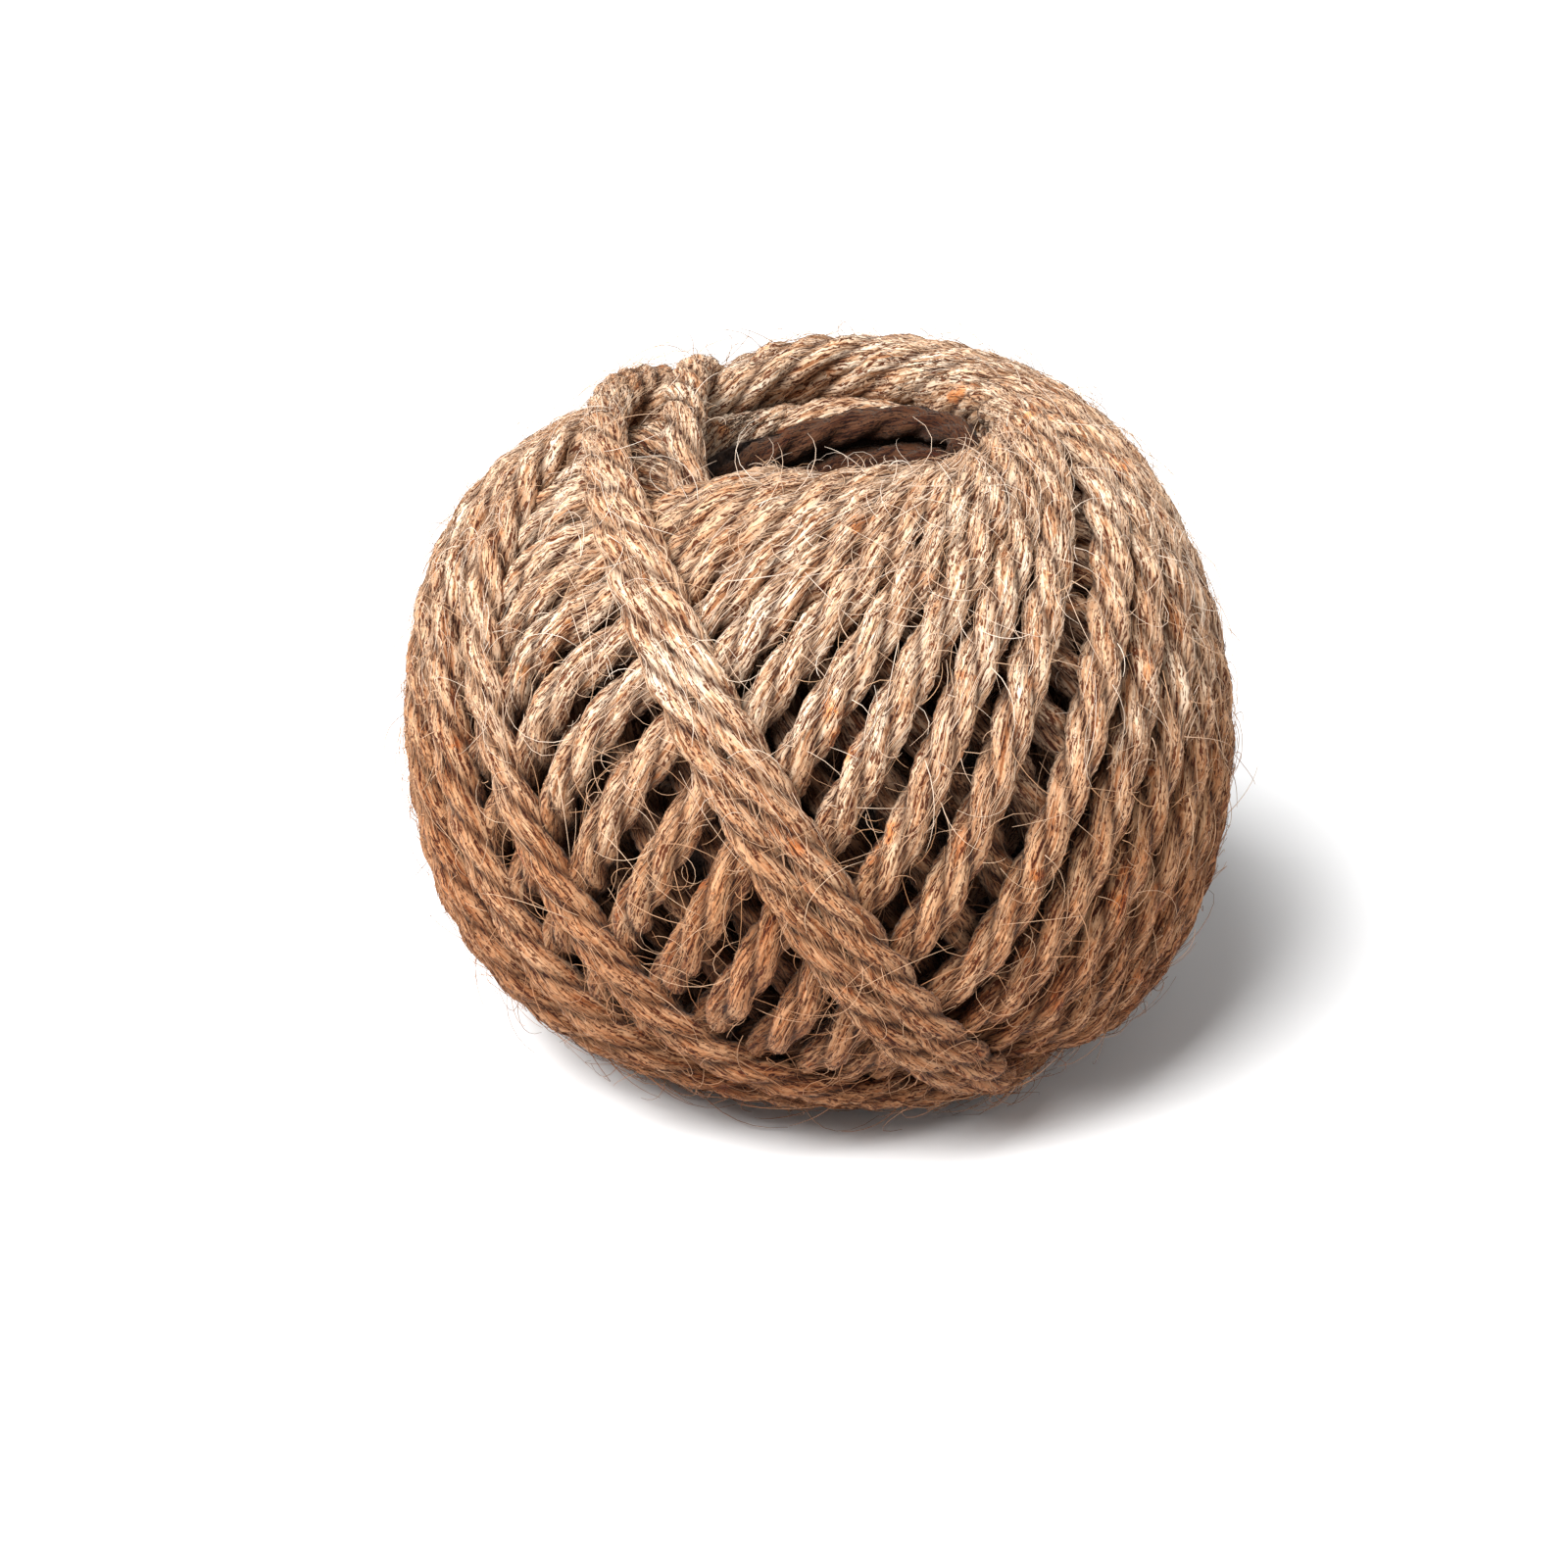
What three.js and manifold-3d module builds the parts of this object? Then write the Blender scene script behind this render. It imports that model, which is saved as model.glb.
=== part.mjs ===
import * as THREE from 'three';
import { ConvexHull } from 'three/addons/math/ConvexHull.js';
import { mergeVertices } from 'three/addons/utils/BufferGeometryUtils.js';
import Module from 'manifold-3d';

// A ball of jute macrame cord, wound on a spindle and drawn off it: one cord, laid turn over turn
// round an apple-shaped form with a hole down its middle. Millimetres, +Z up, the floor at z = 0.
// -Y is the front, and azimuths are degrees round +Z from +X.

// Driving dimensions of the cord and of the form that its centre line follows
const CORD = 4.0; // diameter of the cord
const GIRTH_RADIUS = 43.8; // centre line of the cord at the fullest girth
const TOP_HEIGHT = 40.6; // centre line of a turn that would cross the very top, over the girth
const FOOT_HEIGHT = 39.0; // the same for the foot, under the girth
const GIRTH_HEIGHT = 37.2; // height of the fullest girth above the floor
const FULLNESS = 2.3; // how far the shoulders, half way to the poles, stand outside an ellipse
const SIDE_FULLNESS = 0.3; // how much more of that the +X side has, and the -X side lacks
const TOP_SHIFT = 2.4; // how far the top of the hole is pushed over to +X
const SHIFT_FROM = 0.4; // share of the way up from the girth at which that starts
const THROAT_RADIUS = 12; // where the winding turns down into the hole
const THROAT_DEPTH = 9; // how deep it has sunk there
const THROAT_EASE = 3.2; // over what radius that sinking fades outwards
const THROAT_LIMIT = 14; // deepest that the winding follows the spindle
const SPINDLE_RADIUS = 11.4; // hole that the spindle leaves
const SPINDLE_SIDES = 28; // facets round that hole

// Places where the winding stands proud of that form or lies flatter, as a wound ball's does.
// A polar angle is counted in degrees down from the top.
const SWELLS = [
  { azimuth: 17, polar: 59, rise: -2.3 },
  { azimuth: 90, polar: 26, rise: -1.0 },
  { azimuth: 90, polar: 94, rise: 0.8 },
  { azimuth: 143, polar: 39, rise: -1.1 },
  { azimuth: 166, polar: 63, rise: 0.5 },
  { azimuth: 233, polar: 148, rise: -1.8 },
  { azimuth: 283, polar: 153, rise: -1.5 },
  { azimuth: 332, polar: 134, rise: 0.8 },
];
const SWELL_SPREAD = 0.4; // how far round each it fades, as a share of the ball's radius

// How the skin of the solid is drawn over the cord
const STEPS = 180; // points on one turn of the cord
const SKIN_STRIDE = 2; // of those, how many from one skin point to the next
const SKIN_SPACING = 1.35; // no two skin points are nearer than this
const SHOULDERS = [2.2, 1.5]; // sideways from a turn's crest to its shoulder, free or crowded
const BACK = 0.8; // how rounded a turn's back is: 1 drops a radius over a radius
const CREST_HIDDEN = 0.4; // a crest that lies this far under another's back doesn't show
const DEEPEST = -6.5; // floor of the widest gap, below the centre line of the top turns
const SOLE = 2.4; // cord lower than this is pressed flat on the floor

// Every turn is a great circle round the form. It climbs over the girth at one azimuth, comes down
// opposite, and passes the poles at its slant. A bow takes it wider of both poles, or nearer to
// them. Rows are in the order of winding, the last on top.
const WINDINGS = [
  { row: 'round before', climbs: -22, step: 9.9, turns: 21, slant: 23, slantEnd: 18, bow: 0, lift: 0 },
  { row: 'window', climbs: 186, step: 9.9, turns: 4, slant: 28, slantEnd: 26, bow: -5.5, lift: 0 },
  { row: 'front', climbs: 225.6, step: 10.1, turns: 7, slant: 25.5, slantEnd: 24.5, bow: 0, lift: 0 },
  { row: 'right', climbs: 298.5, step: 10.2, turns: 7, slant: 28, slantEnd: 30, bow: 0, lift: 0.4 },
  { row: 'left side', climbs: 375, step: 17, turns: 3, slant: 28, slantEnd: 34.5, bow: 0, lift: 0.4 },
  { row: 'last pair', climbs: 446.5, step: 6.2, turns: 2, slant: 28, slantEnd: 28, bow: 5, lift: 1.5 },
  { row: 'tucked end', climbs: 450, step: 0, turns: 1, slant: 23, slantEnd: 23, bow: 0, lift: 0.4 },
];
const CHANGE_FROM = 0.85; // share of a turn after which the cord changes to the next turn's plane
const FOOT_FADE = [-0.95, -0.6]; // the weight of the ball presses lifted turns in below these
const TAIL_TUCK = 0.545; // share of the last turn after which its end dives under its neighbours
const TAIL_END = 0.59; // share of the last turn at which the cord ends
const TAIL_DEPTH = 5; // how deep that end is tucked

const RADIUS = CORD / 2;
const SLOPE_STEP = 0.001; // radians over which the form's slope is taken
const UP = new THREE.Vector3(0, 0, 1);
const radians = THREE.MathUtils.degToRad;

// How far the form sinks towards the hole, and its radius and height at a polar angle
function sinkAt(radius) {
  return Math.min(THROAT_DEPTH * Math.exp((THROAT_RADIUS - radius) / THROAT_EASE), THROAT_LIMIT);
}

function profile(polar) {
  const radius = GIRTH_RADIUS * Math.sin(polar);
  const upper = Math.cos(polar) > 0;
  const rise = (upper ? TOP_HEIGHT : FOOT_HEIGHT) * Math.cos(polar);
  return [radius, upper ? rise - sinkAt(radius) : rise + sinkAt(radius)];
}

// The direction at an azimuth and a polar angle
function towards(azimuth, polar) {
  const flat = Math.sin(radians(polar));
  const x = flat * Math.cos(radians(azimuth));
  const y = flat * Math.sin(radians(azimuth));
  return new THREE.Vector3(x, y, Math.cos(radians(polar)));
}

// Where a point of the winding lies, by its direction from the middle and its height over the
// centre line of the top turns
function onForm(direction, height) {
  const polar = direction.angleTo(UP);
  const azimuth = Math.atan2(direction.y, direction.x);
  const [radius, rise] = profile(polar);
  const [radiusNext, riseNext] = profile(polar + SLOPE_STEP);
  const slope = Math.atan2(radiusNext - radius, rise - riseNext);
  const shoulder = Math.sin(2 * polar) ** 2 * (FULLNESS + SIDE_FULLNESS * Math.cos(azimuth));
  const swells = SWELLS.map(({ azimuth: to, polar: down, rise }) => {
    return rise * Math.exp(-((direction.distanceTo(towards(to, down)) / SWELL_SPREAD) ** 2));
  });
  const out = swells.reduce((sum, swell) => sum + swell, height + shoulder);
  const flung = radius + out * Math.cos(slope);
  const z = rise + out * Math.sin(slope);
  const pushed = TOP_SHIFT * THREE.MathUtils.smoothstep(direction.z, SHIFT_FROM, 1);
  const x = flung * Math.cos(azimuth) + pushed;
  return new THREE.Vector3(x, flung * Math.sin(azimuth), z + GIRTH_HEIGHT);
}

// The turns in the order of winding, each with its azimuth of climbing, slant, bow and lift
function listTurns() {
  const turns = [];
  for (const { climbs, step, turns: count, slant, slantEnd, bow, lift } of WINDINGS) {
    for (let i = 0; i < count; i++) {
      const share = count > 1 ? i / (count - 1) : 0;
      const ownSlant = THREE.MathUtils.lerp(slant, slantEnd, share);
      turns.push({ climbs: climbs + i * step, slant: ownSlant, bow, lift });
    }
  }
  return turns;
}

// One long cord: its direction at each step. A turn starts and ends under the ball, and it changes
// over to the next turn's plane on the last of its way down.
function layCord(turns) {
  const cord = [];
  turns.forEach((turn, index) => {
    const next = turns[index + 1] ?? turn;
    const last = index === turns.length - 1;
    const steps = last ? Math.round(STEPS * TAIL_END) : STEPS;
    for (let i = 0; i < steps; i++) {
      const share = i / STEPS;
      const change = THREE.MathUtils.smoothstep(share, CHANGE_FROM, 1);
      const climbs = radians(THREE.MathUtils.lerp(turn.climbs, next.climbs, change));
      const lift = THREE.MathUtils.lerp(turn.lift, next.lift, change);
      const tuck = last ? THREE.MathUtils.smoothstep(share, TAIL_TUCK, TAIL_END) : 0;
      const along = 2 * Math.PI * (share - 0.25);
      const bow = THREE.MathUtils.lerp(turn.bow, next.bow, change) * Math.sin(along) ** 2;
      const slant = radians(THREE.MathUtils.lerp(turn.slant, next.slant, change) + bow);
      const climb = new THREE.Vector3(Math.cos(climbs), Math.sin(climbs), 0);
      const axis = new THREE.Vector3(
        Math.cos(slant) * Math.sin(climbs),
        -Math.cos(slant) * Math.cos(climbs),
        Math.sin(slant),
      );
      const side = axis.clone().cross(climb);
      const direction = climb.multiplyScalar(Math.cos(along)).addScaledVector(side, Math.sin(along));
      const raised = lift * THREE.MathUtils.smoothstep(direction.z, ...FOOT_FADE);
      cord.push({ direction, axis, turn: index, height: raised - TAIL_DEPTH * tuck });
    }
  });
  return cord;
}

// A stretch of cord lies one thickness under every later stretch that crosses it. A neighbour that
// runs nearly alongside only slides against it and presses it down a little. The dips are eased,
// because the cord is stiff.
const REACH = 1.15 * CORD; // sideways, how near a later stretch must be to press this one down
const SLIDE = 0.1; // share of a thickness by which a neighbour alongside presses
const SLIDE_ANGLE = 15; // degrees between two stretches, up to which they slide
const CROSS_ANGLE = 50; // degrees from which they cross in full
const EASE_STEPS = 3; // steps over which a dip fades
const BURIED = -11; // lowest that any stretch is laid

function pressDown(cord) {
  for (let index = cord[cord.length - 1].turn; index >= 0; index--) {
    const own = cord.filter((place) => place.turn === index);
    const later = cord.filter((place) => place.turn > index);
    const pressed = own.map((place, i) => {
      let height = place.height;
      later.forEach((over, j) => {
        if (j < STEPS / 2 && i > STEPS / 2) return; // the cord's own next stretch
        const gap = GIRTH_RADIUS * place.direction.distanceTo(over.direction);
        if (gap >= REACH) return;
        const weight = Math.sqrt(1 - (gap / REACH) ** 2);
        const turned = THREE.MathUtils.radToDeg(place.axis.angleTo(over.axis));
        const angle = Math.min(turned, 180 - turned);
        const crossing = THREE.MathUtils.smoothstep(angle, SLIDE_ANGLE, CROSS_ANGLE);
        const drop = CORD * THREE.MathUtils.lerp(SLIDE, 1, crossing);
        height = Math.min(height, THREE.MathUtils.lerp(place.height, over.height - drop, weight));
      });
      return Math.max(height, BURIED);
    });
    own.forEach((place, i) => {
      let sum = 0;
      for (let k = -EASE_STEPS; k <= EASE_STEPS; k++) {
        sum += pressed[THREE.MathUtils.clamp(i + k, 0, own.length - 1)];
      }
      place.height = sum / (2 * EASE_STEPS + 1);
    });
  }
}

// The top of the winding in a direction: the highest of the rounded backs of the cord round there
function topAt(direction, cord) {
  let top = DEEPEST;
  for (const place of cord) {
    const gap = GIRTH_RADIUS * direction.distanceTo(place.direction);
    if (gap < CORD) top = Math.max(top, place.height + RADIUS - BACK * gap ** 2 / RADIUS);
  }
  return top;
}

// Skin points: along the crest of each stretch that shows, then along both of its shoulders
function drawSkin(cord) {
  const skin = [];
  const spaced = (direction) =>
    skin.every((other) => GIRTH_RADIUS * other.direction.distanceTo(direction) >= SKIN_SPACING);
  const shown = cord.filter((place, i) => {
    if (i % SKIN_STRIDE) return false;
    return topAt(place.direction, cord) < place.height + RADIUS + CREST_HIDDEN;
  });
  shown.reverse();
  for (const { direction } of shown) {
    if (spaced(direction)) skin.push({ direction, height: topAt(direction, cord) });
  }
  for (const sideways of SHOULDERS.flatMap((width) => [-width, width])) {
    for (const { direction, axis } of shown) {
      const shoulder = direction.clone().addScaledVector(axis, sideways / GIRTH_RADIUS).normalize();
      if (spaced(shoulder)) skin.push({ direction: shoulder, height: topAt(shoulder, cord) });
    }
  }
  return skin;
}

// The skin as one closed mesh: its points are netted as directions, then laid on the form
function skinGeometry(skin) {
  const places = new Map();
  for (const { direction, height } of skin) {
    const place = onForm(direction, height);
    if (place.z < SOLE) place.z = -1;
    places.set(direction, place);
  }
  const hull = new ConvexHull().setFromPoints([...places.keys()]);
  const positions = [];
  for (const face of hull.faces) {
    let edge = face.edge;
    do {
      positions.push(...places.get(edge.head().point).toArray());
      edge = edge.next;
    } while (edge !== face.edge);
  }
  const geometry = new THREE.BufferGeometry();
  geometry.setAttribute('position', new THREE.Float32BufferAttribute(positions, 3));
  return geometry;
}

const wasm = await Module();
wasm.setup();

function toSolid(geometry) {
  const bare = geometry.clone();
  bare.deleteAttribute('normal');
  bare.deleteAttribute('uv');
  const merged = mergeVertices(bare);
  return new wasm.Manifold(new wasm.Mesh({
    numProp: 3,
    vertProperties: new Float32Array(merged.attributes.position.array),
    triVerts: new Uint32Array(merged.index.array),
  }));
}

function toGeometry(solid) {
  const { vertProperties, triVerts } = solid.getMesh();
  const geometry = new THREE.BufferGeometry();
  geometry.setAttribute('position', new THREE.BufferAttribute(vertProperties, 3));
  geometry.setIndex(new THREE.BufferAttribute(triVerts, 1));
  geometry.computeVertexNormals();
  return geometry;
}

// The hole that the spindle leaves, leaning with the top, and the floor that the ball stands on
function spindleGeometry() {
  const reach = 3 * TOP_HEIGHT;
  const geometry = new THREE.CylinderGeometry(SPINDLE_RADIUS, SPINDLE_RADIUS, reach, SPINDLE_SIDES);
  geometry.rotateX(Math.PI / 2);
  geometry.rotateY(Math.atan2(TOP_SHIFT, TOP_HEIGHT + FOOT_HEIGHT));
  geometry.translate(TOP_SHIFT / 2, 0, GIRTH_HEIGHT);
  return geometry;
}

function floorGeometry() {
  const width = 4 * GIRTH_RADIUS;
  const depth = CORD;
  return new THREE.BoxGeometry(width, width, depth).translate(0, 0, -depth / 2);
}

const turns = listTurns();
const cord = layCord(turns);
pressDown(cord);
const wound = toSolid(skinGeometry(drawSkin(cord)))
  .subtract(toSolid(spindleGeometry()))
  .subtract(toSolid(floorGeometry()));

const jute = new THREE.MeshStandardMaterial({ color: 0xb08a66, roughness: 0.95, metalness: 0 });
const ball = new THREE.Mesh(toGeometry(wound), jute);
ball.name = 'wound_ball';

const roll = new THREE.Group();
roll.name = 'roll_of_macrame_cord';
roll.add(ball);

export default roll;
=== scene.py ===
from math import cos, radians, sin, tau

import bmesh
import bpy
import numpy as np
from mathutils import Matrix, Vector
from mathutils.bvhtree import BVHTree


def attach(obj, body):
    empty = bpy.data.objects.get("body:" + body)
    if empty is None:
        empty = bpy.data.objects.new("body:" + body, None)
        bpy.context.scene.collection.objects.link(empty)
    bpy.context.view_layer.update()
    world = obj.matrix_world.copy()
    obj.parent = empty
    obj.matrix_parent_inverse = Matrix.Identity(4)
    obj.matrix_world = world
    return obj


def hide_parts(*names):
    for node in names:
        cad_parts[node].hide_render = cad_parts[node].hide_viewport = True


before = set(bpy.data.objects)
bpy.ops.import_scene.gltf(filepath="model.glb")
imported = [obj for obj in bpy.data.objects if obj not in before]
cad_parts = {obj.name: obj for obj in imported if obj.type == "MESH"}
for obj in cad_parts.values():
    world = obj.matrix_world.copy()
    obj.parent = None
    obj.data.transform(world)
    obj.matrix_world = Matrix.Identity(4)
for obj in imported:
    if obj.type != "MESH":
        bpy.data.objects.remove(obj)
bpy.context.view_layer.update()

# The camera looks down on the front of the ball through a moderate long lens, with the ball a
# little above and to the right of the middle of a square picture.
ELEVATION = radians(26)
LENS = 85
SENSOR = 36
METRES_PER_PIXEL = 0.00011  # at the ball, in a picture 1600 pixels wide
PICTURE = 1600
BALL_MIDDLE = Vector((0, 0, 0.038))
MIDDLE_SEEN_AT = (836, 730)  # pixels from the picture's left and top

forward = Vector((0, cos(ELEVATION), -sin(ELEVATION)))
right = Vector((1, 0, 0))
up = right.cross(forward)
aim = BALL_MIDDLE - right * (MIDDLE_SEEN_AT[0] - PICTURE / 2) * METRES_PER_PIXEL
aim -= up * (PICTURE / 2 - MIDDLE_SEEN_AT[1]) * METRES_PER_PIXEL
camera = bpy.data.objects.new("camera", bpy.data.cameras.new("camera"))
camera.data.lens = LENS
camera.data.sensor_width = SENSOR
camera.location = aim - forward * (LENS / SENSOR * PICTURE * METRES_PER_PIXEL)
camera.rotation_euler = forward.to_track_quat("-Z", "Y").to_euler()
bpy.context.scene.collection.objects.link(camera)
bpy.context.scene.camera = camera

# The cord's route. The cord is wound turn over turn round a spindle, each turn a great circle
# round an apple-shaped form, and each later turn presses those under it down. The solid of the ball
# has the same route, but for a few turns that pass nearer to the hole there, and a longer end.
CORD = 0.004  # thickness of the cord, pulled tight
RADIUS = CORD / 2
GIRTH_RADIUS = 0.0438  # middle of the cord at the fullest girth
TOP_HEIGHT = 0.0406  # middle of a turn that would cross the very top, over the girth
FOOT_HEIGHT = 0.039  # the same for the foot, under the girth
GIRTH_HEIGHT = 0.0372  # height of the fullest girth above the floor
FULLNESS = 0.0023  # how far the shoulders stand outside an ellipse
SIDE_FULLNESS = 0.0003  # how much more of that the +X side has, and the -X side lacks
TOP_SHIFT = 0.0024  # how far the top of the hole is pushed over to +X
SHIFT_FROM = 0.4  # share of the way up from the girth at which that starts
THROAT_RADIUS = 0.012  # where the winding turns down into the hole
THROAT_DEPTH = 0.009  # how deep it has sunk there
THROAT_EASE = 0.0032  # over what radius that sinking fades outwards
THROAT_LIMIT = 0.014  # deepest that the winding follows the spindle
SLOPE_STEP = 0.001  # radians over which the form's slope is taken

# Places where the winding stands proud of that form or lies flatter. A polar angle is counted in
# degrees down from the top, an azimuth round +Z from +X.
SWELLS = [
    dict(azimuth=17, polar=59, rise=-0.0023),
    dict(azimuth=90, polar=26, rise=-0.0010),
    dict(azimuth=90, polar=94, rise=0.0008),
    dict(azimuth=143, polar=39, rise=-0.0011),
    dict(azimuth=166, polar=63, rise=0.0005),
    dict(azimuth=233, polar=148, rise=-0.0018),
    dict(azimuth=283, polar=153, rise=-0.0015),
    dict(azimuth=332, polar=134, rise=0.0008),
]
SWELL_SPREAD = 0.4  # how far round each it fades, as a share of the ball's radius

# A turn climbs over the girth at one azimuth, comes down opposite and passes the poles at its
# slant. A bow takes it wider of both poles, or nearer to them. The last row lies on top.
STEPS = 180  # points on one turn of the cord
SEAT = 0.0017  # lowest that the middle of the cord is pressed to on the floor
WINDINGS = [
    dict(row="inner", climbs=-382, step=20, turns=18, slant=(40, 30), bow=0, lift=-0.0027),
    dict(row="round_before", climbs=-22, step=9.9, turns=21, slant=(23, 24), bow=0, lift=0),
    dict(row="window", climbs=186, step=9.9, turns=4, slant=(28, 27), bow=-3, lift=0),
    dict(row="front", climbs=225.6, step=10.1, turns=7, slant=(25.5, 24.5), bow=0, lift=0),
    dict(row="right", climbs=298.5, step=10.2, turns=7, slant=(28, 30), bow=0, lift=0.0004),
    dict(row="left_side", climbs=375, step=17, turns=3, slant=(28, 34.5), bow=0, lift=0.0004),
    dict(row="last_pair", climbs=446.5, step=6.2, turns=2, slant=(28, 28), bow=5, lift=0.0015),
    dict(row="tucked_end", climbs=450, step=0, turns=1, slant=(23, 23), bow=0, lift=0.0004),
]
CHANGE_FROM = 0.85  # share of a turn after which the cord changes to the next turn's plane
FOOT_FADE = (-0.95, -0.6)  # the weight of the ball presses lifted turns in below these
TAIL_TUCK = 0.515  # share of the last turn after which its end dives under its neighbours
TAIL_END = 0.553  # share of the last turn at which the cord ends
TAIL_DEPTH = 0.007  # how deep that end is tucked
REACH = 1.15 * CORD  # sideways, how near a later stretch must be to press this one down
SLIDE = 0.1  # share of a thickness by which a neighbour alongside presses
SLIDE_ANGLE = 15  # degrees between two stretches, up to which they slide
CROSS_ANGLE = 50  # degrees from which they cross in full
EASE_STEPS = 3  # steps over which a dip fades
BURIED = -0.011  # lowest that any stretch is laid
TINY = 1e-5  # a length too small to see


def smoothstep(x, low, high):
    """0 up to low, 1 from high on, and a smooth rise between them."""
    share = np.clip((x - low) / (high - low), 0, 1)
    return share * share * (3 - 2 * share)


def profile(polar):
    """The form's radius and its height over the girth at a polar angle."""
    radius = GIRTH_RADIUS * np.sin(polar)
    upper = np.cos(polar) > 0
    rise = np.where(upper, TOP_HEIGHT, FOOT_HEIGHT) * np.cos(polar)
    sink = np.minimum(THROAT_DEPTH * np.exp((THROAT_RADIUS - radius) / THROAT_EASE), THROAT_LIMIT)
    return radius, rise - np.where(upper, sink, -sink)


def on_form(direction, height):
    """Where the winding lies, by direction from the middle and height over the top turns."""
    polar = np.arccos(np.clip(direction[..., 2], -1, 1))
    azimuth = np.arctan2(direction[..., 1], direction[..., 0])
    radius, rise = profile(polar)
    radius_next, rise_next = profile(polar + SLOPE_STEP)
    slope = np.arctan2(radius_next - radius, rise - rise_next)
    shoulder = np.sin(2 * polar) ** 2 * (FULLNESS + SIDE_FULLNESS * np.cos(azimuth))
    out = height + shoulder
    for swell in SWELLS:
        down, to = radians(swell["polar"]), radians(swell["azimuth"])
        middle = (sin(down) * cos(to), sin(down) * sin(to), cos(down))
        off = np.linalg.norm(direction - middle, axis=-1)
        out = out + swell["rise"] * np.exp(-((off / SWELL_SPREAD) ** 2))
    flung = radius + out * np.cos(slope)
    z = rise + out * np.sin(slope) + GIRTH_HEIGHT
    pushed = TOP_SHIFT * smoothstep(direction[..., 2], SHIFT_FROM, 1)
    return np.stack([flung * np.cos(azimuth) + pushed, flung * np.sin(azimuth), z], -1)


def lay_cord():
    """The cord's direction, turning axis, height, turn and row at each of its points."""
    turns = []
    for row, winding in enumerate(WINDINGS):
        for i in range(winding["turns"]):
            slant = np.interp(i, (0, max(winding["turns"] - 1, 1)), winding["slant"])
            climbs = winding["climbs"] + i * winding["step"]
            turns.append((climbs, slant, winding["bow"], winding["lift"], row))
    stretches = []
    for index, turn in enumerate(turns):
        last = index == len(turns) - 1
        share = np.arange(round(STEPS * TAIL_END) if last else STEPS) / STEPS
        change = smoothstep(share, CHANGE_FROM, 1)
        following = turns[min(index + 1, len(turns) - 1)]
        mixed = (a + (b - a) * change for a, b in zip(turn[:4], following[:4]))
        climbs, slant, bow, lift = mixed
        along = tau * (share - 0.25)
        climbs, slant = np.radians(climbs), np.radians(slant + bow * np.sin(along) ** 2)
        climb = np.stack([np.cos(climbs), np.sin(climbs), 0 * share], 1)
        across = [np.cos(slant) * np.sin(climbs), -np.cos(slant) * np.cos(climbs), np.sin(slant)]
        axis = np.stack(across, 1)
        side = np.cross(axis, climb)
        direction = climb * np.cos(along)[:, None] + side * np.sin(along)[:, None]
        height = lift * smoothstep(direction[:, 2], *FOOT_FADE)
        if last:
            height = height - TAIL_DEPTH * smoothstep(share, TAIL_TUCK, TAIL_END)
        numbers = np.full(len(share), index), np.full(len(share), turn[4])
        stretches.append((direction, axis, height, *numbers))
    return [np.concatenate(part) for part in zip(*stretches)]


def press_down(direction, axis, height, turn):
    """The heights of the cord once every later turn that crosses it has pressed on it."""
    height = height.copy()
    near = 1 - (REACH / GIRTH_RADIUS) ** 2 / 2  # cosine of the angle that the reach spans
    for index in range(turn[-1], -1, -1):
        own, later = np.flatnonzero(turn == index), np.flatnonzero(turn > index)
        pressed = height[own]
        close = direction[own] @ direction[later].T > near
        close[STEPS // 2 + 1 :, : STEPS // 2] = False  # the cord's own next stretch
        i, j = np.nonzero(close)
        gap = GIRTH_RADIUS * np.linalg.norm(direction[own[i]] - direction[later[j]], axis=1)
        weight = np.sqrt(1 - np.minimum(gap / REACH, 1) ** 2)
        across = np.abs((axis[own[i]] * axis[later[j]]).sum(1))
        turned = np.degrees(np.arccos(np.minimum(across, 1)))
        drop = CORD * (SLIDE + (1 - SLIDE) * smoothstep(turned, SLIDE_ANGLE, CROSS_ANGLE))
        under = height[own[i]] + (height[later[j]] - drop - height[own[i]]) * weight
        np.minimum.at(pressed, i, under)
        pressed = np.pad(np.maximum(pressed, BURIED), EASE_STEPS, mode="edge")
        width = 2 * EASE_STEPS + 1
        height[own] = np.convolve(pressed, np.ones(width) / width, mode="valid")
    return height


def unit(vectors):
    return vectors / np.linalg.norm(vectors, axis=-1, keepdims=True)


direction, axis, height, turn_of, row_of = lay_cord()
height = press_down(direction, axis, height, turn_of)
route = on_form(direction, height)
route[:, 2] += np.maximum(SEAT - on_form(direction, 0 * height)[:, 2], 0)
run = np.append(0, np.cumsum(np.linalg.norm(np.diff(route, axis=0), axis=1)))
tangent = unit(np.gradient(route, axis=0))
outward = on_form(direction, height + TINY) - on_form(direction, height)
outward = unit(outward - tangent * (outward * tangent).sum(1, keepdims=True))
sideways = np.cross(tangent, outward)
print("cord laid:", round(run[-1], 2), "m")

# The wound cord. It is three-ply jute of four millimetres, hard-twisted, so its outline is three
# lobes that turn once in four and a half diameters. Loose fibres fill it out, and each row of turns
# is a piece.
PLIES = 3
PLY_SIDES = 6  # corners of each in the cord's outline
PLY_GROOVE = 0.3  # depth of the groove between two plies, as a share of the radius
PLY_FLATNESS = 1.6  # the more, the flatter a ply's back and the narrower the groove
FLUFF = 1.2  # how much fuller the cord looks than it measures when it is pulled tight
TWIST_PITCH = -0.018  # length of one turn of the twist; minus turns it left-handed
FIBRE_FOLLOW = 0.2  # how far the fibres on a ply slant with it, from 0 along the cord to 1
THICK_AND_THIN = 0.06  # how much the cord's thickness wanders
WANDER_LENGTH = 0.009  # from one thick or thin place to the next
PAINTED_SHADE_DEPTHS = (0.0011, 0.0047)  # depth under the top turns at which painted shade in a gap starts, and is full
INNER_STRIDE = 2  # the turns under the first layer have a station for every two of the route's
dice = np.random.default_rng(4)


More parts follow.
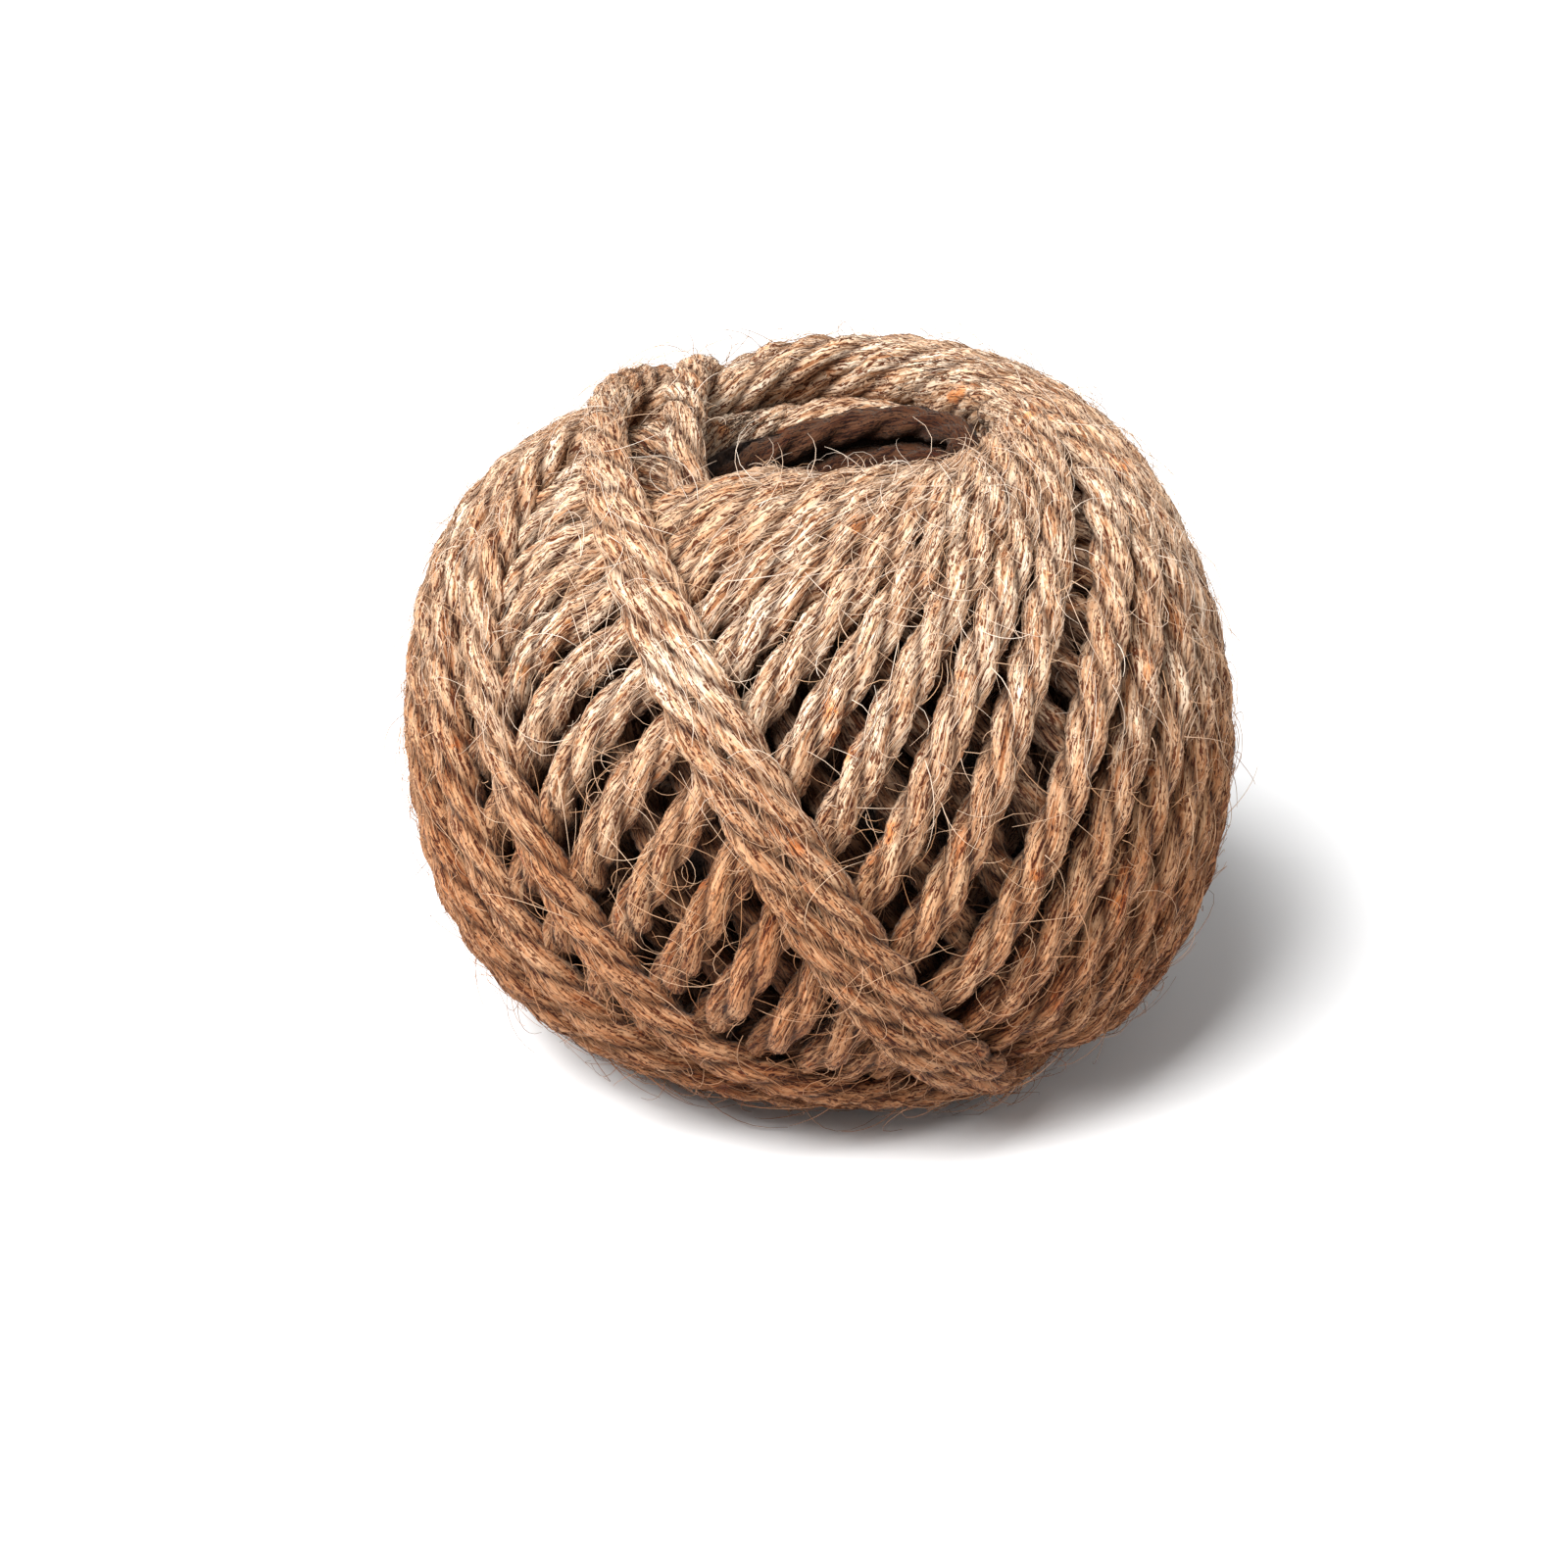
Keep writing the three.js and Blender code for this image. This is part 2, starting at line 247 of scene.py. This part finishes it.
def lobe(angle):
    """The share of the cord's radius that it has at an angle round it."""
    groove = ((1 + np.cos(PLIES * angle)) / 2) ** PLY_FLATNESS
    return 1 - PLY_GROOVE * groove


def painted_shade(over_form):
    """Painted shade for cord that lies at a height over the middle of the top turns, from 0 to 1."""
    return smoothstep(RADIUS - over_form, *PAINTED_SHADE_DEPTHS)


def grain_of(lengths, tilts):
    """Coordinates for the streaks, round the cord and along it, that turn with the fibres."""
    turned = -around - (1 - FIBRE_FOLLOW) * tilts[:, None]
    along = np.broadcast_to(lengths[:, None], turned.shape)
    return np.stack([RADIUS * np.cos(turned), RADIUS * np.sin(turned), along], -1)


def sweep(name, outline, courses, attributes=()):
    """The outline swept along courses of [points, radii, tilts], with an attribute a vertex."""
    made = []
    ring = bpy.data.curves.new(name + "_outline", "CURVE")
    ring.dimensions = "2D"
    loop = ring.splines.new("POLY")
    loop.points.add(len(outline) - 1)
    loop.points.foreach_set("co", np.pad(outline, ((0, 0), (0, 2)), constant_values=0).ravel())
    loop.use_cyclic_u = True
    made.append(bpy.data.objects.new(ring.name, ring))
    curve = bpy.data.curves.new(name, "CURVE")
    curve.dimensions = "3D"
    curve.bevel_mode = "OBJECT"
    curve.bevel_object = made[0]
    for points, radii, tilts in courses:
        spline = curve.splines.new("POLY")
        spline.points.add(len(points) - 1)
        spline.points.foreach_set("co", np.pad(points, ((0, 0), (0, 1)), constant_values=1).ravel())
        spline.points.foreach_set("radius", radii)
        spline.points.foreach_set("tilt", tilts)
        spline.use_smooth = True
    made.append(bpy.data.objects.new(name + "_course", curve))
    for thing in made:
        bpy.context.scene.collection.objects.link(thing)
    graph = bpy.context.evaluated_depsgraph_get()
    mesh = bpy.data.meshes.new_from_object(made[1].evaluated_get(graph))
    for thing in made:
        bpy.data.objects.remove(thing)
    for label, kind, field, values in attributes:
        layer = mesh.attributes.new(label, kind, "POINT")
        layer.data.foreach_set(field, np.ascontiguousarray(values, np.float32).ravel())
    shape = bmesh.new()
    shape.from_mesh(mesh)
    bmesh.ops.holes_fill(shape, edges=[edge for edge in shape.edges if edge.is_boundary])
    for vertex in shape.verts:
        vertex.co.z = max(vertex.co.z, 0)  # pressed flat where it rests on the floor
    shape.to_mesh(mesh)
    shape.free()
    mesh.name = name
    piece = bpy.data.objects.new(name, mesh)
    bpy.context.scene.collection.objects.link(piece)
    return piece


def belongs(piece, material):
    """Gives a piece its material, and its place in the wound ball."""
    piece.data.materials.append(material)
    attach(piece, "root")
    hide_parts("wound_ball")


def new_material(name):
    """A material with its nodes, its links and its shader."""
    made = bpy.data.materials.new(name)
    made.use_nodes = True
    return made, made.node_tree.nodes, made.node_tree.links, made.node_tree.nodes["Principled BSDF"]


def ramp(nodes, stops):
    """A colour ramp with stops of (place, colour)."""
    made = nodes.new("ShaderNodeValToRGB")
    for element, (place, colour) in zip(made.color_ramp.elements, (stops[0], stops[-1])):
        element.position, element.color = place, (*colour, 1)
    for place, colour in stops[1:-1]:
        made.color_ramp.elements.new(place).color = (*colour, 1)
    return made


def mix_colours(nodes, links, share, under, over, blend="MIX"):
    """A mix node; share, under and over are each a socket, or a value to set."""
    made = nodes.new("ShaderNodeMix")
    made.data_type = "RGBA"
    made.blend_type = blend
    for label, given in (("Factor", share), ("A", under), ("B", over)):
        socket = next(s for s in made.inputs if s.name == label and s.enabled)
        if isinstance(given, bpy.types.NodeSocket):
            links.new(given, socket)
        else:
            socket.default_value = given
    return made.outputs["Result"]


def with_painted_shade_below(nodes, links, colour):
    """The colour as it is at the top of the ball, and browner and darker the lower it lies: painted
    shade.
    """
    place = nodes.new("ShaderNodeTexCoord")
    axes = nodes.new("ShaderNodeSeparateXYZ")
    links.new(place.outputs["Object"], axes.inputs["Vector"])
    level = nodes.new("ShaderNodeMath")
    level.operation = "DIVIDE"
    level.inputs[1].default_value = JUTE_TOP
    links.new(axes.outputs["Z"], level.inputs[0])
    browns = ramp(nodes, JUTE_PAINTED_SHADE_BY_HEIGHT)
    links.new(level.outputs["Value"], browns.inputs["Fac"])
    return mix_colours(nodes, links, 1.0, colour, browns.outputs["Color"], "MULTIPLY")


def with_painted_shade(nodes, links, colour):
    """The colour as it is at the top turns, with painted shade that takes it near black at the bottom of
    a gap.
    """
    depth = nodes.new("ShaderNodeAttribute")
    depth.attribute_name = "painted_shade"
    shade = mix_colours(nodes, links, depth.outputs["Fac"], (1, 1, 1, 1), (*JUTE_IN_DEEPEST_SHADE, 1))
    return mix_colours(nodes, links, 1.0, colour, shade, "MULTIPLY")


def jute_cord():
    """Straw to brown fibres that run in streaks along the plies, with dark slits between them."""
    jute, nodes, links, shader = new_material("jute_cord")
    shader.inputs["Roughness"].default_value = 0.8
    shader.inputs["Specular IOR Level"].default_value = 0.15
    shader.inputs["Sheen Weight"].default_value = 0.1
    shader.inputs["Sheen Roughness"].default_value = 0.45
    shader.inputs["Sheen Tint"].default_value = (1, 0.88, 0.74, 1)

    grain = nodes.new("ShaderNodeAttribute")
    grain.attribute_name = "grain"
    streaks = []
    for wide, long in (JUTE_SLIT, JUTE_STRAND):
        stretch = nodes.new("ShaderNodeMapping")
        stretch.inputs["Scale"].default_value = (1 / wide, 1 / wide, 1 / long)
        noise = nodes.new("ShaderNodeTexNoise")
        noise.inputs["Scale"].default_value = 1
        noise.inputs["Detail"].default_value = 2
        noise.inputs["Distortion"].default_value = 0.5
        links.new(grain.outputs["Vector"], stretch.inputs["Vector"])
        links.new(stretch.outputs["Vector"], noise.inputs["Vector"])
        streaks.append(noise.outputs["Fac"])
    slit_streaks, strand_streaks = streaks
    slits = ramp(nodes, JUTE_SLITS)
    links.new(slit_streaks, slits.inputs["Fac"])
    strands = ramp(nodes, JUTE_STRANDS)
    links.new(strand_streaks, strands.inputs["Fac"])

    place = nodes.new("ShaderNodeTexCoord")
    colour = mix_colours(nodes, links, 1.0, strands.outputs["Color"], slits.outputs["Color"], "MULTIPLY")
    for size, stops in JUTE_PATCHES:
        blotch = nodes.new("ShaderNodeTexNoise")
        blotch.inputs["Scale"].default_value = 1 / size
        blotch.inputs["Detail"].default_value = 3
        links.new(place.outputs["Object"], blotch.inputs["Vector"])
        tints = ramp(nodes, stops)
        links.new(blotch.outputs["Fac"], tints.inputs["Fac"])
        colour = mix_colours(nodes, links, 1.0, colour, tints.outputs["Color"], "MULTIPLY")

    # painted shade: darker in the gaps, down the hole and towards the foot
    colour = with_painted_shade(nodes, links, colour)
    links.new(with_painted_shade_below(nodes, links, colour), shader.inputs["Base Color"])

    rough = nodes.new("ShaderNodeMath")
    rough.operation = "MULTIPLY"
    links.new(slits.outputs["Color"], rough.inputs[0])
    links.new(strand_streaks, rough.inputs[1])
    relief = nodes.new("ShaderNodeBump")
    relief.inputs["Strength"].default_value = 0.7
    relief.inputs["Distance"].default_value = 0.0004
    links.new(rough.outputs["Value"], relief.inputs["Height"])
    links.new(relief.outputs["Normal"], shader.inputs["Normal"])
    return jute


# A row of colours holds the share at which each lies, from 0 to 1, and the colour.
JUTE_SLIT = (0.00020, 0.0018)  # width and length of the dark slits between fibres
JUTE_STRAND = (0.00045, 0.006)  # and of the strands of one colour
JUTE_SLITS = [(0.40, (0.19, 0.085, 0.050)), (0.48, (1, 1, 1))]
JUTE_STRANDS = [
    (0.34, (0.30, 0.130, 0.056)),
    (0.43, (0.57, 0.350, 0.208)),
    (0.53, (0.73, 0.535, 0.375)),
    (0.64, (0.83, 0.680, 0.525)),
]
JUTE_PATCHES = [  # the size of a kind of patch, and what it does to the colour
    (0.016, [(0.36, (0.80, 0.66, 0.55)), (0.62, (1, 1, 1))]),
    (0.005, [(0.63, (1, 1, 1)), (0.72, (1, 0.62, 0.36))]),
]
JUTE_IN_DEEPEST_SHADE = (0.11, 0.060, 0.038)  # share of its colour that jute keeps in the deepest painted shade, in gaps and down the hole
GROOVE_PAINTED_SHADE = 0.9  # how near the grooves between plies come to that, with painted shade
GROOVE_NARROW = 3  # the more, the nearer that painted shade keeps to the bottom of the groove
PAINTED_SHADE_MOST = 0.82  # how near the deepest turns come to that painted shade
LIT_SHARE = 0.75  # how much less dark they are round the mouth of the hole, where light falls in
LIT_HEIGHTS = (0.058, 0.067)  # heights at which that starts, and is full
JUTE_TOP = 0.08  # height of the ball, which the shares in the next row are of
# painted shade: the share of its colour that the jute keeps at a height, darker towards the foot
JUTE_PAINTED_SHADE_BY_HEIGHT = [
    (0.06, (0.40, 0.245, 0.155)),
    (0.33, (0.62, 0.44, 0.32)),
    (0.50, (0.70, 0.555, 0.435)),
    (0.74, (1.00, 1.00, 1.00)),
]
around = tau * np.arange(PLIES * PLY_SIDES) / (PLIES * PLY_SIDES)
clockwise = np.stack([np.cos(-around), np.sin(-around)], 1)  # which turns the faces outward
outline = clockwise * (RADIUS * lobe(around))[:, None]
in_groove = ((1 - lobe(around)) / PLY_GROOVE) ** GROOVE_NARROW
tilt = tau * run / TWIST_PITCH
knots = np.arange(0, run[-1] + WANDER_LENGTH, WANDER_LENGTH)
thickness = FLUFF + THICK_AND_THIN * np.interp(run, knots, dice.uniform(-1, 1, len(knots)))
jute = jute_cord()
cords = []
for row, winding in enumerate(WINDINGS):
    stations = np.flatnonzero(row_of == row)
    if winding["row"] == "inner":
        stations = stations[::INNER_STRIDE]
    if row:
        stations = np.append(stations[0] - 1, stations)  # so that the rows meet
    piece = sweep(
        "cord_" + winding["row"],
        outline,
        [(route[stations], thickness[stations], tilt[stations])],
        [("grain", "FLOAT_VECTOR", "vector", grain_of(run[stations], tilt[stations]))],
    )
    places = np.array([vertex.co for vertex in piece.data.vertices]).reshape(len(stations), -1, 3)
    stands = ((places - route[stations][:, None]) * outward[stations][:, None]).sum(2)
    # painted shade: cord is darker the deeper it lies under the top turns
    layer = piece.data.attributes.new("painted_shade", "FLOAT", "POINT")
    lit = LIT_SHARE * smoothstep(places[..., 2], *LIT_HEIGHTS)
    dark = PAINTED_SHADE_MOST * (1 - lit) * painted_shade(height[stations][:, None] + stands)
    # painted shade in the grooves between the plies
    dark = np.maximum(dark, GROOVE_PAINTED_SHADE * in_groove)
    layer.data.foreach_set("value", dark.astype(np.float32).ravel())
    belongs(piece, jute)
    cords.append(piece)

# The hole's wall. The spindle drew the innermost turns tight round itself, so they line the hole
# as a close coil of the same cord from under its mouth down to the foot, in the dark, which is painted
# shade.
SPINDLE_RADIUS = 0.0114
WALL_FROM, WALL_TO = 0.0675, 0.007  # heights of the coil's first and last turn
WALL_PITCH = 0.0044  # from one turn down to the next
WALL_STEPS = 44  # stations on one turn
WALL_TILT = 0.0022  # how much higher a turn lies on the right than in the middle
WALL_ROCK = 0.0008  # how far it strays up and down from that
WALL_WAVER = 0.0003  # and in and out
WALL_BEATS = (1.13, 2.7)  # how often it does either in one turn
WALL_PAINTED_SHADE = (0.0765, 0.0695)  # heights at which painted shade on the wall starts, and is full


def lean(z):
    """How far the hole's middle has moved to +X at a height."""
    return TOP_SHIFT / 2 + (z - GIRTH_HEIGHT) * TOP_SHIFT / (TOP_HEIGHT + FOOT_HEIGHT)


turns_down = (WALL_FROM - WALL_TO) / WALL_PITCH
steps = np.arange(round(turns_down * WALL_STEPS))
spun = tau * steps / WALL_STEPS
wall_z = WALL_FROM - WALL_PITCH * steps / WALL_STEPS
wall_z += WALL_TILT * np.cos(spun) + WALL_ROCK * np.sin(spun * WALL_BEATS[0])
wall_radius = SPINDLE_RADIUS + RADIUS + WALL_WAVER * np.sin(spun * WALL_BEATS[1])
wall_x = wall_radius * np.cos(spun) + lean(wall_z)
wall_route = np.stack([wall_x, wall_radius * np.sin(spun), wall_z], 1)
wall_run = np.append(0, np.cumsum(np.linalg.norm(np.diff(wall_route, axis=0), axis=1)))
wall_tilt = tau * wall_run / TWIST_PITCH
# painted shade: the coil darkens from under the hole's mouth downwards
darkness = np.repeat(1 - smoothstep(wall_z, *WALL_PAINTED_SHADE[::-1]), len(around))
hole_wall = sweep(
    "hole_wall",
    outline,
    [(wall_route, np.ones(len(steps)), wall_tilt)],
    [
        ("grain", "FLOAT_VECTOR", "vector", grain_of(wall_run, wall_tilt)),
        ("painted_shade", "FLOAT", "value", darkness),
    ],
)
belongs(hole_wall, jute)
cords.append(hole_wall)
print("cord in the hole's wall:", round(wall_run[-1], 2), "m")

# The buried layers. Under the turns that show lie older ones, wound so close that only a dark
# matted mass of jute is seen of them at the bottom of the gaps; it is spun round the hole's wall.
# Its near-black colour is painted shade.
CORE_INSET = 0.0082  # how far the mass lies inside the centre line of the top turns
CORE_WALL = SPINDLE_RADIUS + 0.8 * CORD  # radius of its hole, behind the middle of the wall's coil
CORE_RINGS = 40  # rings of corners from the foot to the top
CORE_SPIN = 64  # corners on each
MATTED_GRAIN = 900  # how many tufts there are to a metre
core_reach = GIRTH_RADIUS - CORE_INSET
hole_edge = np.arcsin(CORE_WALL / core_reach)
core_shape = bmesh.new()
core_profile = []
for polar in np.linspace(hole_edge, np.pi - hole_edge, CORE_RINGS):
    pole_height = TOP_HEIGHT if cos(polar) > 0 else FOOT_HEIGHT
    z = GIRTH_HEIGHT + (pole_height - CORE_INSET) * cos(polar)
    core_profile.append(core_shape.verts.new((core_reach * sin(polar), 0, z)))
core_pairs = zip(core_profile, core_profile[1:] + core_profile[:1])
core_edges = [core_shape.edges.new(pair) for pair in core_pairs]
bmesh.ops.spin(
    core_shape,
    geom=core_profile + core_edges,
    axis=(0, 0, 1),
    cent=(0, 0, 0),
    angle=tau,
    steps=CORE_SPIN,
    use_merge=True,
)
bmesh.ops.remove_doubles(core_shape, verts=core_shape.verts[:], dist=TINY)
for vertex in core_shape.verts:
    vertex.co.x += lean(vertex.co.z)
bmesh.ops.recalc_face_normals(core_shape, faces=core_shape.faces[:])
core_mesh = bpy.data.meshes.new("buried_layers")
core_shape.to_mesh(core_mesh)
core_shape.free()
core = bpy.data.objects.new("buried_layers", core_mesh)
bpy.context.scene.collection.objects.link(core)


def painted_shade_buried_jute():
    """Jute with a coarse, matted grain, coloured near black: painted shade of the deep gaps."""
    matted, nodes, links, shader = new_material("painted_shade_buried_jute")
    shader.inputs["Roughness"].default_value = 0.95
    place = nodes.new("ShaderNodeTexCoord")
    tufts = nodes.new("ShaderNodeTexNoise")
    tufts.inputs["Scale"].default_value = MATTED_GRAIN
    tufts.inputs["Detail"].default_value = 3
    links.new(place.outputs["Object"], tufts.inputs["Vector"])
    # painted shade: the buried jute is coloured near black
    browns = ramp(nodes, [(0.35, (0.012, 0.006, 0.004)), (0.7, (0.07, 0.036, 0.022))])
    links.new(tufts.outputs["Fac"], browns.inputs["Fac"])
    links.new(browns.outputs["Color"], shader.inputs["Base Color"])
    relief = nodes.new("ShaderNodeBump")
    relief.inputs["Strength"].default_value = 1
    relief.inputs["Distance"].default_value = 0.001
    links.new(tufts.outputs["Fac"], relief.inputs["Height"])
    links.new(relief.outputs["Normal"], shader.inputs["Normal"])
    return matted


belongs(core, painted_shade_buried_jute())

# The nap. Jute is never smooth: fine fibres work loose from the plies and lie along the cord, most
# of them pressed into its grooves and over its plies, some with an end that stands off.
NAP_PIECES = 2
NAP_FIBRES = 7000  # in each piece
NAP_POINTS = 5
NAP_LENGTHS = (0.003, 0.009)
NAP_RADII = (0.000032, 0.000058)
NAP_SLANTS = (-15, 10)  # degrees from the cord's line
NAP_SPREAD = 75  # degrees to each side of a cord's back on which fibres start
NAP_STANDS = (-0.00003, 0.00007)  # how far a fibre's middle lies off the cord
NAP_END_STAND = 0.0007  # how much further off its end lies at most
NAP_END_RARITY = 3  # the more, the fewer ends come near that
NAP_END_BEND = 3  # the more, the nearer to the end a fibre starts to stand off
NAP_TAPER = 0.6  # share of its radius that a fibre has lost at its end
NAP_TONE = 0.85  # lightest tone
CLEAR = 0.0002  # how far off the surface a ray starts that looks for cord over it
NEEDLE = np.array([(cos(a), sin(a)) for a in (0, -tau / 3, -2 * tau / 3)])  # a fibre's section
ball_middle = np.array(BALL_MIDDLE)

corners, sides = [], []
for piece in cords:
    sides += [[len(corners) + corner for corner in side.vertices] for side in piece.data.polygons]
    corners += [tuple(vertex.co) for vertex in piece.data.vertices]
wound = BVHTree.FromPolygons(corners, sides)


def at_run(values, places):
    """A row of vectors along the cord's route, read at places by their length run."""
    return np.stack([np.interp(places, run, column) for column in values.T], -1)


def on_cord(places, angle, stand):
    """Points on the cord's surface, by length run, angle from its back and height off it."""
    ahead, back = at_run(route, places), at_run(outward, places)
    side = at_run(sideways, places)
    far = (RADIUS * np.interp(places, run, thickness) + stand)[..., None]
    return ahead + far * (np.cos(angle)[..., None] * back + np.sin(angle)[..., None] * side)


def laid_on(points, stand):
    """The points moved onto the surface of the nearest cord, and off it again by their stand."""
    found = (wound.find_nearest(Vector(point)) for point in points.reshape(-1, 3))
    laid = [hit[0] + hit[1] * off for hit, off in zip(found, stand.ravel())]
    return np.array(laid).reshape(points.shape)


def exposed(count, spread):
    """Places on cord that nothing lies over: their length run and angle from the cord's back."""
    first_run = run[np.flatnonzero(row_of > 0)[0]]  # the inner turns carry none
    found = []
    while len(found) < count:
        places = dice.uniform(first_run, run[-1], count)
        angles = np.radians(dice.uniform(-spread, spread, count))
        roots = on_cord(places, angles, 0 * angles)
        for place, angle, root in zip(places, angles, roots):
            away = Vector(unit(root - ball_middle))
            start = Vector(root) + away * CLEAR
            if wound.ray_cast(start, away)[0] is None:
                found.append((place, angle))
    return np.array(found[:count]).T


def loose_fibre():
    """A single fibre of jute, from brown to nearly white."""
    loose, nodes, links, shader = new_material("loose_fibre")
    shader.inputs["Roughness"].default_value = 0.55
    shader.inputs["Specular IOR Level"].default_value = 0.2
    tone = nodes.new("ShaderNodeAttribute")
    tone.attribute_name = "tone"
    tones = ramp(nodes, FIBRE_TONES)
    links.new(tone.outputs["Fac"], tones.inputs["Fac"])
    # painted shade: darker in the gaps and towards the foot, as on the cord
    colour = with_painted_shade(nodes, links, tones.outputs["Color"])
    links.new(with_painted_shade_below(nodes, links, colour), shader.inputs["Base Color"])
    return loose


def add_fibres(name, courses, radii, tones, darkness):
    """One fibre along each course of points, with its radii, its tone and its painted shade."""
    points = courses.shape[1]
    corners_each = points * len(NEEDLE)
    added = sweep(
        name,
        NEEDLE,
        [(course, radius, np.zeros(points)) for course, radius in zip(courses, radii)],
        [
            ("tone", "FLOAT", "value", np.repeat(tones, corners_each)),
            ("painted_shade", "FLOAT", "value", np.repeat(darkness, corners_each)),
        ],
    )
    belongs(added, fibre)


FIBRE_TONES = [
    (0.0, (0.09, 0.034, 0.015)),
    (0.20, (0.20, 0.09, 0.045)),
    (0.40, (0.50, 0.30, 0.17)),
    (0.75, (0.66, 0.48, 0.35)),
    (1.0, (0.86, 0.74, 0.62)),
]
fibre = loose_fibre()
for number in range(NAP_PIECES):
    place, angle = exposed(NAP_FIBRES, NAP_SPREAD)
    length = dice.uniform(*NAP_LENGTHS, NAP_FIBRES)
    slant = np.tan(np.radians(dice.uniform(*NAP_SLANTS, NAP_FIBRES)))
    share = np.linspace(0, 1, NAP_POINTS)
    middle_stand = dice.uniform(*NAP_STANDS, NAP_FIBRES)
    end_stand = NAP_END_STAND * dice.random(NAP_FIBRES) ** NAP_END_RARITY
    along = place[:, None] + length[:, None] * (share - 0.5)
    angles = angle[:, None] + slant[:, None] * length[:, None] * (share - 0.5) / RADIUS
    stand = middle_stand[:, None] + end_stand[:, None] * share**NAP_END_BEND
    points = laid_on(on_cord(along, angles, 0 * stand), stand)
    radii = dice.uniform(*NAP_RADII, NAP_FIBRES)[:, None] * (1 - NAP_TAPER * share**2)
    tone = NAP_TONE * dice.random(NAP_FIBRES)
    # painted shade: a fibre is darker the deeper in a gap it starts
    over = np.interp(place, run, height) + RADIUS * np.cos(angle)
    add_fibres("nap_%d" % (number + 1), points, radii, tone, painted_shade(over))

# The stray hairs. Here and there a longer fibre has come loose at one end; it springs off the cord
# and curls over its neighbours, and a few stand out past the ball's outline.
HAIRS = 4800
HAIR_POINTS = 7
HAIR_LENGTHS = (0.0025, 0.012)
HAIR_RARITY = 1.3  # the more, the fewer hairs come near the longest
HAIR_RADII = (0.000035, 0.000055)
HAIR_TIP = 0.5  # share of its radius that a hair has at its tip
HAIR_TONES = (0.35, 1)
HAIR_SHADE = 0.6  # share of the gaps' painted shade that hairs take on, because they rise out of them
HAIR_RISES = (0, 42)  # degrees at which a hair leaves the surface
HAIR_FALLS = (-45, 10)  # and at which its end points
HAIR_CURL = 170  # degrees that a hair curls sideways at most, either way
HAIR_WORN = 0.5  # share of their length to which the spindle has worn the hairs by the hole
WORN_WITHIN = 0.022  # how far from the hole's middle it has
place, angle = exposed(HAIRS, NAP_SPREAD)
length = HAIR_LENGTHS[0] + (HAIR_LENGTHS[1] - HAIR_LENGTHS[0]) * dice.random(HAIRS) ** HAIR_RARITY
root = on_cord(place, angle, 0 * angle)
from_hole = np.hypot(root[:, 0] - TOP_SHIFT, root[:, 1])
length *= np.where(from_hole < WORN_WITHIN, HAIR_WORN, 1)
heading = np.radians(dice.uniform(0, 360, HAIRS))
curl = np.radians(dice.uniform(-HAIR_CURL, HAIR_CURL, HAIRS))
rises = np.radians(dice.uniform(*HAIR_RISES, HAIRS))
falls = np.radians(dice.uniform(*HAIR_FALLS, HAIRS))
share = (np.arange(HAIR_POINTS - 1) + 0.5) / (HAIR_POINTS - 1)
headings = heading[:, None] + curl[:, None] * share
climbing = rises[:, None] + (falls - rises)[:, None] * share
level = np.cos(climbing)
paces = np.stack([level * np.cos(headings), level * np.sin(headings), np.sin(climbing)], -1)
paces *= length[:, None, None] / (HAIR_POINTS - 1)
local = np.pad(np.cumsum(paces, axis=1), ((0, 0), (1, 0), (0, 0)))
local[..., 2] -= (local[..., 0] ** 2 + local[..., 1] ** 2) / (2 * GIRTH_RADIUS)  # as the ball curves
normal = unit(root - ball_middle)
first_side = unit(np.cross(normal, at_run(tangent, place)))
second_side = np.cross(normal, first_side)
points = root[:, None] + local[..., :1] * second_side[:, None] + local[..., 1:2] * first_side[:, None]
points += local[..., 2:] * normal[:, None]
radii = dice.uniform(*HAIR_RADII, HAIRS)[:, None] * np.linspace(1, HAIR_TIP, HAIR_POINTS)
# painted shade: a hair takes some of the darkness of the gap it rises from
over = np.interp(place, run, height) + RADIUS * np.cos(angle)
tone = dice.uniform(*HAIR_TONES, HAIRS)
add_fibres("stray_hairs", points, radii, tone, HAIR_SHADE * painted_shade(over))

# The floor is a plain pale sheet that the ball stands on, under a large soft light from the upper
# left, a weaker one from the right, and an even light all round. White comes out white.
FLOOR_SIZE = 6
floor_shape = bmesh.new()
bmesh.ops.create_grid(floor_shape, x_segments=1, y_segments=1, size=FLOOR_SIZE / 2)
floor_mesh = bpy.data.meshes.new("floor")
floor_shape.to_mesh(floor_mesh)
floor_shape.free()
floor = bpy.data.objects.new("floor", floor_mesh)
bpy.context.scene.collection.objects.link(floor)
paper, _, _, shader = new_material("pale_floor")
shader.inputs["Base Color"].default_value = (0.9, 0.9, 0.9, 1)
shader.inputs["Roughness"].default_value = 0.9
floor.data.materials.append(paper)

LIGHTS = [
    dict(name="key", at=(-0.9, -1.1, 1.9), size=1.3, watts=127),
    dict(name="fill", at=(1.4, -1.3, 0.9), size=1.4, watts=5),
]
for light in LIGHTS:
    lamp = bpy.data.lights.new(light["name"], "AREA")
    lamp.size = light["size"]
    lamp.energy = light["watts"]
    lamp_object = bpy.data.objects.new(light["name"], lamp)
    lamp_object.location = light["at"]
    lamp_object.rotation_euler = (BALL_MIDDLE - Vector(light["at"])).to_track_quat("-Z", "Y").to_euler()
    bpy.context.scene.collection.objects.link(lamp_object)
room = bpy.data.worlds.new("room")
room.use_nodes = True
room.node_tree.nodes["Background"].inputs["Color"].default_value = (1, 1, 1, 1)
room.node_tree.nodes["Background"].inputs["Strength"].default_value = 0.32
bpy.context.scene.world = room
bpy.context.scene.view_settings.view_transform = "Standard"
